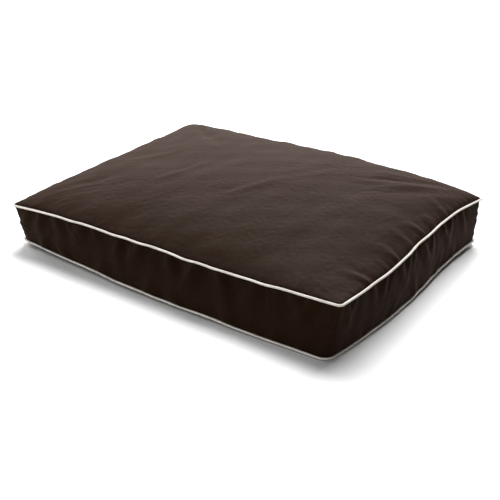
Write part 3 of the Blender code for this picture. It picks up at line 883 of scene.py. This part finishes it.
def make_back(half):
    shape, cut = [refine(grid) for grid in back_cloth(half)]
    upper = half == "upper"
    edge, hem_edge = ("high", "low") if upper else ("low", "high")
    tucks = random_folds(44 + upper, edge, 2 * TOP_X, 34, ((22, 44), (6, 10), (0.8, 1.8)))
    shape = add_folds(shape, cut, tucks)
    shape = pucker(shape, cut, (edge,), seed=95 + upper, size=0.6 * MM)
    hem = shape[0] if upper else shape[-1]
    turned = hem + inward_of(hem) * 2.2 * MM
    turned[:, 2] += WAYS[half] * 8 * MM
    level, rise = ("top", -SEAM_RISE) if upper else ("bottom", SEAM_RISE)
    borders = [
        (edge, seam_row(level, BACK, shape.shape[1], ALLOWANCE, rise), FLAT_ALLOWANCE),
        (hem_edge, turned, 8 * MM),
    ]
    piece = cloth_object("back_cloth_" + half, shape, cut, borders=borders + end_borders(shape, BACK))
    keep(piece, "cover_cloth", "back_boxing_" + half)
    return shape


def make_bottom():
    shape, cut = [refine(grid) for grid in bottom_cloth()]
    borders = panel_borders("bottom", shape, -SEAM_RISE)
    piece = cloth_object("bottom_cloth", shape, cut, borders=borders, flip=True)
    keep(piece, "cover_cloth", "bottom_panel")


# ---------------------------------------------------------------- liner and fill


def plan_ring(half_x, half_y, count, power=9.0):
    """A rounded rectangle in plan, as points round it."""
    turn = np.linspace(0, 2 * np.pi, count, endpoint=False)
    c, s = np.cos(turn), np.sin(turn)
    radius = (np.abs(c / half_x) ** power + np.abs(s / half_y) ** power) ** (-1 / power)
    return np.stack([radius * c, radius * s], axis=1)


def below_cover(cover, points, depth):
    """The height of the top panel over plan points, less a depth."""
    rows, columns = cover.shape[:2]
    across = np.clip((points[:, 0] / TOP_X + 1) / 2, 0, 1) * (columns - 1)
    upward = np.clip((points[:, 1] / TOP_Y + 1) / 2, 0, 1) * (rows - 1)
    c, r = np.floor(across).astype(int), np.floor(upward).astype(int)
    c, r = np.minimum(c, columns - 2), np.minimum(r, rows - 2)
    heights = [cover[r + dr, c + dc, 2] for dr in (0, 1) for dc in (0, 1)]
    return np.minimum.reduce(heights) - depth


def pad_half(name, half_x, half_y, low, high, lumps, seed, thickness=None, cover=None, depth=0.0):
    """Half of a boxed pad: a wall from the middle seam, a rounded shoulder, and a face under the cover."""
    around = 240
    rng = np.random.default_rng(seed)
    levels = [(1.0, 0.0), (1.0, 0.12), (1.002, 0.3), (1.0, 0.5), (0.996, 0.7), (0.986, 0.84), (0.968, 0.94)]
    levels += [(scale, 1.0) for scale in (0.94, 0.9, 0.84, 0.76, 0.66, 0.54, 0.4, 0.25, 0.12, 0.04)]
    base = plan_ring(half_x, half_y, around)
    along = np.arange(around) / around * 2 * np.pi
    folds = sum(np.sin(n * along + rng.uniform(0, 6)) for n in (23, 37, 58, 71)) / 4
    rings = []
    for scale, rise in levels:
        plan = base * scale
        fade = 1.0 if rise < 1 else scale ** 3
        plan = plan * (1 - lumps * (0.5 + 0.5 * folds)[:, None] * fade / half_x)
        z = np.full(around, low + (high - low) * rise)
        if cover is not None:
            ceiling = below_cover(cover, plan, depth)
            z = ceiling if rise >= 1 else np.minimum(z, ceiling)
        z = z - np.sign(high - low) * lumps * (0.5 + 0.5 * folds) * (rise >= 1) * fade
        rings.append(np.column_stack([plan, z]))
    rings = np.array(rings)
    faces = tube_faces(len(rings), around)
    del faces[-2]      # the rim at the middle seam stays open
    if high < low:
        faces = [face[::-1] for face in faces]
    piece = mesh_object(name, rings.reshape(-1, 3).tolist(), faces)
    if thickness:
        thicken(piece, thickness)
    return piece


def joined(name, parts):
    """One object from several meshes that share a rim."""
    points, faces = [], []
    for part in parts:
        start = len(points)
        points += [tuple(v.co) for v in part.data.vertices]
        faces += [[start + i for i in face.vertices] for face in part.data.polygons]
        bpy.data.objects.remove(part)
    piece = mesh_object(name, points, faces)
    weld = bmesh.new()
    weld.from_mesh(piece.data)
    bmesh.ops.remove_doubles(weld, verts=weld.verts, dist=0.05 * MM)
    bmesh.ops.recalc_face_normals(weld, faces=weld.faces)
    weld.to_mesh(piece.data)
    weld.free()
    return piece


LINER_GAP = 17.5 * MM        # in from the upper seam
FILL_GAP = 3.5 * MM          # in from the liner


def make_liner_and_fill(cover):
    liner_x, liner_y = TOP_X - LINER_GAP, TOP_Y - LINER_GAP
    middle, shoulder, base = ZIP_Z, 112 * MM, 2.2 * MM
    upper = pad_half("liner_upper_cloth", liner_x, liner_y, middle + 0.2 * MM, shoulder, 1.4 * MM, 31,
                     0.6 * MM, cover, 3.5 * MM)
    keep(upper, "muslin", "liner_upper")
    lower = pad_half("liner_lower_cloth", liner_x, liner_y, middle - 0.2 * MM, base, -0.9 * MM, 32, 0.6 * MM)
    keep(lower, "muslin", "liner_lower")
    fill_x, fill_y = liner_x - FILL_GAP, liner_y - FILL_GAP
    top = pad_half("fill_top", fill_x, fill_y, middle, shoulder - 2 * MM, 1.6 * MM, 33, None, cover, 7.5 * MM)
    under = pad_half("fill_under", fill_x, fill_y, middle, base + 2.2 * MM, 1.6 * MM, 33)
    fill = joined("fibre_filling", [top, under])
    keep(fill, "fibre", "fibre_fill")


# ---------------------------------------------------------------- zip, stitches and label


def ribbon_tube(points, ups, half_wide, half_thick, sides=8):
    """Rings of an oval thread along points."""
    ahead = np.gradient(points, axis=0)
    ahead /= np.linalg.norm(ahead, axis=1)[:, None]
    across = np.cross(ahead, ups)
    across /= np.linalg.norm(across, axis=1)[:, None]
    normal = np.cross(across, ahead)
    rings = np.empty((len(points), sides, 3))
    for k in range(sides):
        angle = 2 * np.pi * k / sides
        rings[:, k] = points + across * math.cos(angle) * half_wide + normal * math.sin(angle) * half_thick
    return rings


def make_coil(half):
    """One side of the nylon coil: a flattened helix."""
    way = WAYS[half]
    low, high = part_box("zip_coil_" + half)
    pitch = 1.9 * MM
    steps = 12
    turns = int((high.x - low.x - 1.2 * MM) / pitch)
    t = np.arange(turns * steps + 1) / steps
    phase = 2 * np.pi * t
    near, far = ZIP_Z + way * 0.55 * MM, ZIP_Z + way * 2.75 * MM
    z = (near + far) / 2 - way * (abs(far - near) / 2) * np.cos(phase)
    y = (low.y + high.y) / 2 + 0.62 * MM * np.sin(phase)
    x = low.x + 0.6 * MM + t * pitch + (0.48 * MM if way < 0 else 0)
    points = np.column_stack([x, y, z])
    ups = np.tile(np.array([1.0, 0, 0]), (len(points), 1))
    rings = ribbon_tube(points, ups, 0.3 * MM, 0.36 * MM, 6)
    keep(tube_object("coil_" + half, rings, closed=False), "zip_coil", "zip_coil_" + half)


def make_stitches(hems):
    """Two rows of topstitching, one along each hem beside the zip."""
    pitch, length, radius, sides = 3.2 * MM, 2.5 * MM, 0.28 * MM, 6
    lift = np.array([-0.25, 0.12, 0.2, 0.12, -0.25])[:, None] * MM
    one_stitch = tube_faces(len(lift), sides)
    points, faces = [], []
    for first, second in hems:
        line = first + (second - first) / np.linalg.norm(second - first, axis=1)[:, None] * 3.2 * MM
        outward = -inward_of(first)
        along = path_lengths(line)
        for begin in np.arange(0.03, along[-1] - 0.03, pitch):
            where = begin + np.linspace(0, length, len(lift))
            path = np.column_stack([np.interp(where, along, line[:, k]) for k in range(3)])
            out = np.array([np.interp(begin, along, outward[:, k]) for k in range(3)])
            ups = np.tile(out, (len(lift), 1))
            rings = ribbon_tube(path + out * lift, ups, radius, radius * 0.7, sides)
            faces += [[len(points) + k for k in face] for face in one_stitch]
            points += rings.reshape(-1, 3).tolist()
    keep(mesh_object("hem_stitches", points, faces), "cover_cloth")


def make_tape(half):
    """A woven tape that carries one side of the coil, and follows the wall round into the corners."""
    way = WAYS[half]
    low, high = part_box("zip_tape_" + half)
    near, far = (low.z, high.z) if way > 0 else (high.z, low.z)
    columns = 200
    path = zip_path(4 * columns, 2.95 * MM)[0]
    path = path[(path[:, 0] > low.x) & (path[:, 0] < high.x)]
    path = resample(path, columns)
    rows = 7
    share = np.linspace(0, 1, rows)[:, None]
    shape = np.repeat(path[None], rows, axis=0)
    shape[:, :, 2] = near + (far - near) * share
    shape[:, :, 1] -= 0.25 * MM * share ** 2
    if way < 0:
        shape = shape[::-1].copy()
    cut = np.stack([shape[:, :, 0], shape[:, :, 2], 0 * share + 0 * path[None, :, 0]], axis=2)
    piece = cloth_object("woven_tape_" + half, shape, cut, thickness=0.6 * MM)
    keep(piece, "zip_tape", "zip_tape_" + half)


def make_label():
    """A blank satin label, held in the lower back seam and hanging against the liner's side."""
    low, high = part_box("care_label")
    rows, columns = 24, 14
    u = np.linspace(0, 1, columns)[None, :]
    v = np.linspace(0, 1, rows)[:, None]
    x = high.x + (low.x - high.x) * u + 0 * v
    z = low.z + (high.z - low.z) * v + 0 * u
    lining = TOP_Y - 16.2 * MM
    y = lining + (0.35 * MM * np.sin(3.0 * u + 4.2 * v)) * np.sqrt(v)
    shape = np.stack([x, y, z], axis=2)
    cut = np.stack([x, z, 0 * x], axis=2)
    piece = cloth_object("satin_label", shape, cut, thickness=0.3 * MM)
    keep(piece, "label", "care_label")


# ---------------------------------------------------------------- materials

# Linear colours
COVER_DARK = (0.0078, 0.0034, 0.0010)
COVER_LIGHT = (0.0108, 0.0048, 0.0016)
COVER_SHEEN = 0.055
PIPING_LIGHT = (0.66, 0.62, 0.565)
PIPING_SHADE = (0.51, 0.47, 0.415)


class Nodes:
    """A short way to write a node material."""

    def __init__(self, name):
        self.material = bpy.data.materials.new(name)
        self.material.use_nodes = True
        self.tree = self.material.node_tree
        self.tree.nodes.clear()
        self.output = self.tree.nodes.new("ShaderNodeOutputMaterial")
        self.shader = self.tree.nodes.new("ShaderNodeBsdfPrincipled")
        self.tree.links.new(self.shader.outputs[0], self.output.inputs["Surface"])

    def put(self, socket, value):
        """Link a socket to another, or set its value."""
        if isinstance(value, bpy.types.NodeSocket):
            self.tree.links.new(value, socket)
        else:
            socket.default_value = value

    def add(self, kind, settings=None, **inputs):
        node = self.tree.nodes.new(kind)
        for key, value in (settings or {}).items():
            setattr(node, key, value)
        for key, value in inputs.items():
            self.put(node.inputs[key.replace("_", " ")], value)
        return node

    def place(self, space="Object"):
        return self.add("ShaderNodeTexCoord").outputs[space]

    def mapped(self, vector, **inputs):
        return self.add("ShaderNodeMapping", Vector=vector, **inputs).outputs[0]

    def math(self, operation, first, second, clamp=False):
        node = self.add("ShaderNodeMath", {"operation": operation, "use_clamp": clamp})
        self.put(node.inputs[0], first)
        self.put(node.inputs[1], second)
        return node.outputs[0]

    def plus(self, first, second, share=1.0):
        """The first value and a share of the second."""
        if share != 1.0:
            second = self.math("MULTIPLY", second, share)
        return self.math("ADD", first, second)

    def mix(self, factor, first, second):
        """A colour between two."""
        node = self.add("ShaderNodeMix", {"data_type": "RGBA", "blend_type": "MIX"})
        self.put(node.inputs[0], factor)
        self.put(node.inputs[6], (*first, 1.0))
        self.put(node.inputs[7], (*second, 1.0))
        return node.outputs[2]

    def ramp(self, factor, low, high, low_value=0.0, high_value=1.0):
        node = self.add("ShaderNodeMapRange", None, Value=factor, From_Min=low, From_Max=high,
                        To_Min=low_value, To_Max=high_value)
        return node.outputs[0]

    def noise(self, vector, scale, detail, roughness):
        node = self.add("ShaderNodeTexNoise", Scale=scale, Detail=detail, Roughness=roughness, Vector=vector)
        return node.outputs["Fac"]

    def bands(self, vector, scale, direction):
        settings = {"wave_type": "BANDS", "bands_direction": direction, "wave_profile": "SIN"}
        node = self.add("ShaderNodeTexWave", settings, Scale=scale, Distortion=0.0, Vector=vector)
        return node.outputs["Fac"]

    def threads(self, vector, per_metre):
        """Height of a plain weave with this many threads a metre each way."""
        scale = 2 * math.pi * per_metre / 20      # a wave texture repeats every pi / (10 * scale)
        return self.math("MULTIPLY", self.bands(vector, scale, "X"), self.bands(vector, scale, "Y"))

    def bump(self, height, strength, distance):
        node = self.add("ShaderNodeBump", Height=height, Strength=strength, Distance=distance)
        return node.outputs["Normal"]

    def finish(self, **inputs):
        for key, value in inputs.items():
            self.put(self.shader.inputs[key.replace("_", " ")], value)
        return self.material


def cover_material():
    """Brushed brown cloth: short soft nap over a fine weave, lighter where it is seen along its surface."""
    nodes = Nodes("brushed_cover_cloth")
    vector = nodes.place("UV")
    cloudy = nodes.noise(vector, 9.0, 3.0, 0.55)
    mottled = nodes.noise(vector, 120.0, 4.0, 0.6)
    nap = nodes.noise(vector, 1500.0, 2.0, 0.6)
    brushed = nodes.noise(nodes.mapped(vector, Scale=(260.0, 1400.0, 700.0)), 1.0, 3.0, 0.6)
    tone = nodes.plus(nodes.ramp(cloudy, 0.3, 0.7, -0.10, 0.10), nodes.ramp(mottled, 0.3, 0.7, -0.09, 0.09))
    tone = nodes.plus(tone, nodes.ramp(brushed, 0.3, 0.7, -0.09, 0.09))
    tone = nodes.math("ADD", tone, 0.5, clamp=True)
    height = nodes.plus(nodes.math("MULTIPLY", nap, 0.6), nodes.threads(vector, 1100.0), 0.35)
    height = nodes.plus(height, mottled, 0.8)
    return nodes.finish(
        Base_Color=nodes.mix(tone, COVER_DARK, COVER_LIGHT), Normal=nodes.bump(height, 0.38, 0.3 * MM),
        Roughness=nodes.ramp(mottled, 0.3, 0.7, 0.84, 0.95), Specular_IOR_Level=0.10,
        Specular_Tint=(1.0, 0.72, 0.60, 1.0), Sheen_Weight=COVER_SHEEN, Sheen_Roughness=0.42,
        Sheen_Tint=(1.0, 0.58, 0.50, 1.0),
    )


def piping_material():
    """Off-white bias-cut cloth, wrapped tightly, slightly soiled in its creases."""
    nodes = Nodes("piping_bias_cloth")
    vector = nodes.place()
    weave = nodes.threads(nodes.mapped(vector, Rotation=(0.6, 0.5, 0.785)), 1500.0)
    soft = nodes.noise(vector, 60.0, 4.0, 0.6)
    height = nodes.plus(weave, nodes.noise(vector, 1300.0, 2.0, 0.6), 0.5)
    return nodes.finish(
        Base_Color=nodes.mix(nodes.ramp(soft, 0.35, 0.7), PIPING_LIGHT, PIPING_SHADE), Roughness=0.85,
        Normal=nodes.bump(height, 0.45, 0.25 * MM), Specular_IOR_Level=0.3, Sheen_Weight=0.15,
        Sheen_Roughness=0.5,
    )


def plain_cloth_material(name, light, shade, per_metre, roughness=0.9, sheen=0.1):
    """Cotton cord, muslin, tape and ribbon: one weave, two close tones."""
    nodes = Nodes(name)
    vector = nodes.place()
    cloudy = nodes.noise(vector, 35.0, 4.0, 0.6)
    slub = nodes.noise(vector, 500.0, 2.0, 0.6)
    height = nodes.plus(nodes.threads(vector, per_metre), slub, 0.4)
    return nodes.finish(
        Base_Color=nodes.mix(nodes.ramp(cloudy, 0.3, 0.75), light, shade), Roughness=roughness,
        Normal=nodes.bump(height, 0.5, 0.3 * MM), Specular_IOR_Level=0.3, Sheen_Weight=sheen,
        Sheen_Roughness=0.5,
    )


def fibre_material():
    """Loose white polyester fibre."""
    nodes = Nodes("loose_fibre")
    vector = nodes.place()
    strands = nodes.noise(vector, 220.0, 6.0, 0.75)
    tufts = nodes.noise(vector, 28.0, 5.0, 0.6)
    colour = nodes.mix(nodes.ramp(tufts, 0.3, 0.7), (0.86, 0.85, 0.82), (0.70, 0.69, 0.66))
    normal = nodes.bump(nodes.plus(strands, tufts, 2.0), 0.8, 2.0 * MM)
    return nodes.finish(Base_Color=colour, Roughness=0.95, Normal=normal, Sheen_Weight=0.4,
                        Sheen_Roughness=0.6)


def coil_material():
    """Dyed nylon, a little shiny on its crests."""
    nodes = Nodes("nylon_coil")
    vector = nodes.place()
    worn = nodes.noise(vector, 260.0, 3.0, 0.5)
    colour = nodes.mix(nodes.ramp(worn, 0.3, 0.7), (0.052, 0.040, 0.034), (0.085, 0.066, 0.056))
    normal = nodes.bump(nodes.noise(vector, 2400.0, 2.0, 0.5), 0.2, 0.05 * MM)
    return nodes.finish(Base_Color=colour, Roughness=nodes.ramp(worn, 0.3, 0.7, 0.32, 0.45), Normal=normal)


def metal_material():
    """Cast zinc with an antique finish, darker in its hollows and fine-scratched on its faces."""
    nodes = Nodes("antique_zinc")
    vector = nodes.place()
    patches = nodes.noise(vector, 180.0, 4.0, 0.6)
    scratches = nodes.noise(nodes.mapped(vector, Scale=(900.0, 900.0, 9000.0)), 1.0, 2.0, 0.6)
    colour = nodes.mix(nodes.ramp(patches, 0.35, 0.65), (0.16, 0.14, 0.125), (0.34, 0.31, 0.28))
    scratched = nodes.ramp(scratches, 0.3, 0.7, -0.05, 0.08)
    rough = nodes.plus(nodes.ramp(patches, 0.3, 0.7, 0.46, 0.30), scratched)
    normal = nodes.bump(scratches, 0.25, 0.04 * MM)
    return nodes.finish(Base_Color=colour, Roughness=rough, Normal=normal, Metallic=1.0)


def paint(piece, material):
    piece.data.materials.clear()
    piece.data.materials.append(material)


def make_materials():
    looks = (
        (cover_material(), "top_cloth front_cloth right_cloth left_cloth bottom_cloth "
                           "back_cloth_upper back_cloth_lower"),
        (piping_material(), "top_piping bottom_piping"),
        (plain_cloth_material("cotton_cord", (0.80, 0.76, 0.68), (0.66, 0.62, 0.54), 900.0),
         "top_cord bottom_cord"),
        (plain_cloth_material("muslin", (0.78, 0.72, 0.62), (0.70, 0.64, 0.54), 1300.0),
         "liner_upper_cloth liner_lower_cloth"),
        (fibre_material(), "fibre_filling"),
        (plain_cloth_material("brown_thread", (0.075, 0.055, 0.045), (0.055, 0.040, 0.032), 2600.0, 0.7, 0.2),
         "hem_stitches"),
        (plain_cloth_material("satin_ribbon", (0.88, 0.87, 0.84), (0.80, 0.79, 0.76), 3000.0, 0.42, 0.3),
         "satin_label"),
        (coil_material(), "coil_upper coil_lower"),
        (plain_cloth_material("zip_tape_weave", (0.060, 0.045, 0.038), (0.042, 0.031, 0.026), 1600.0, 0.8,
                              0.25),
         "woven_tape_upper woven_tape_lower"),
    )
    for material, names in looks:
        for name in names.split():
            paint(made[name], material)
    metal = metal_material()
    for name in ("zip_slider", "zip_pull", "zip_top_stop_upper", "zip_top_stop_lower", "zip_bottom_stop"):
        paint(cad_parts[name], metal)


# ---------------------------------------------------------------- floor, light and camera

WORLD_LIGHT = 0.01
FLOOR_RADIUS = 1.4
LIGHT_AIM = Vector((0, 0, 0.1))
LIGHTS = [
    ("ceiling_softbox", (2.4, 1.2), (-0.3, 1.0, 2.5), 156),
    ("back_softbox", (3.0, 1.2), (-1.4, 2.6, 1.3), 148),
    ("left_softbox", (2.0, 2.0), (-2.4, -0.2, 1.6), 57),
    ("front_softbox", (3.0, 1.0), (0.4, -3.0, 0.5), 38),
]


def make_stage():
    """A pale round floor. It is lit to white all over, so it ends unseen against the white studio."""
    bpy.ops.mesh.primitive_circle_add(vertices=96, radius=FLOOR_RADIUS, fill_type="NGON")
    floor = bpy.context.object
    floor.name = "pale_floor"
    floor.location = (0, 0, -0.2 * MM)
    nodes = Nodes("pale_floor")
    soft = nodes.noise(nodes.place(), 1.5, 2.0, 0.5)
    colour = nodes.mix(soft, (0.80, 0.80, 0.80), (0.83, 0.83, 0.83))
    paint(floor, nodes.finish(Base_Color=colour, Roughness=0.9, Specular_IOR_Level=0.1))


def make_light():
    """Softboxes in a white studio whose own light is weak, though the camera sees it as white."""
    world = bpy.data.worlds.new("studio")
    bpy.context.scene.world = world
    world.use_nodes = True
    tree = world.node_tree
    backdrop = tree.nodes["Background"]
    backdrop.inputs["Strength"].default_value = 1.0
    fill = tree.nodes.new("ShaderNodeBackground")
    fill.inputs["Color"].default_value = (1, 1, 1, 1)
    fill.inputs["Strength"].default_value = WORLD_LIGHT
    backdrop.inputs["Color"].default_value = (1, 1, 1, 1)
    choose = tree.nodes.new("ShaderNodeMixShader")
    seen = tree.nodes.new("ShaderNodeLightPath")
    tree.links.new(seen.outputs["Is Camera Ray"], choose.inputs[0])
    tree.links.new(fill.outputs[0], choose.inputs[1])
    tree.links.new(backdrop.outputs[0], choose.inputs[2])
    tree.links.new(choose.outputs[0], tree.nodes["World Output"].inputs["Surface"])
    for name, size, place, power in LIGHTS:
        data = bpy.data.lights.new(name, "AREA")
        data.shape = "RECTANGLE"
        data.size, data.size_y = size
        data.energy = power
        light = linked(name, data)
        light.location = place
        light.rotation_mode = "QUATERNION"
        light.rotation_quaternion = (LIGHT_AIM - Vector(place)).to_track_quat("-Z", "Y")


CAMERA_PLACE = (1.170, -1.682, 0.994)
CAMERA_TURNS = (34.78, 26.28, 0.26)      # azimuth, downward pitch and roll, in degrees


def make_camera():
    data = bpy.data.cameras.new("camera")
    data.sensor_width = 36
    data.lens = 64.8
    camera = linked("camera", data)
    azimuth, pitch, roll = [math.radians(angle) for angle in CAMERA_TURNS]
    forward = Vector((-math.sin(azimuth) * math.cos(pitch), math.cos(azimuth) * math.cos(pitch),
                      -math.sin(pitch)))
    side = Vector((math.cos(azimuth), math.sin(azimuth), 0))
    up = side.cross(forward)
    right = side * math.cos(roll) + up * math.sin(roll)
    up = right.cross(forward)
    turned = Matrix((right, up, -forward)).transposed().to_4x4()
    camera.matrix_world = Matrix.Translation(CAMERA_PLACE) @ turned
    bpy.context.scene.camera = camera
    bpy.context.scene.view_settings.view_transform = "Standard"


# ---------------------------------------------------------------- put together

make_camera()
make_light()
make_stage()
cover_top = make_top()
make_wall(FRONT, "front_cloth", "front_boxing")
make_wall(RIGHT, "right_cloth", "right_boxing")
make_wall(LEFT, "left_cloth", "left_boxing")
hem_upper = make_back("upper")
hem_lower = make_back("lower")
make_bottom()
for level in ("top", "bottom"):
    keep(piping_cover(level), "piping_cloth", level + "_piping_cover")
    keep(piping_cord(level), "cotton_cord", level + "_piping_cord")
make_liner_and_fill(cover_top)
make_coil("upper")
make_coil("lower")
make_tape("upper")
make_tape("lower")
make_stitches([(hem_upper[0], hem_upper[2]), (hem_lower[-1], hem_lower[-3])])
make_label()
make_materials()
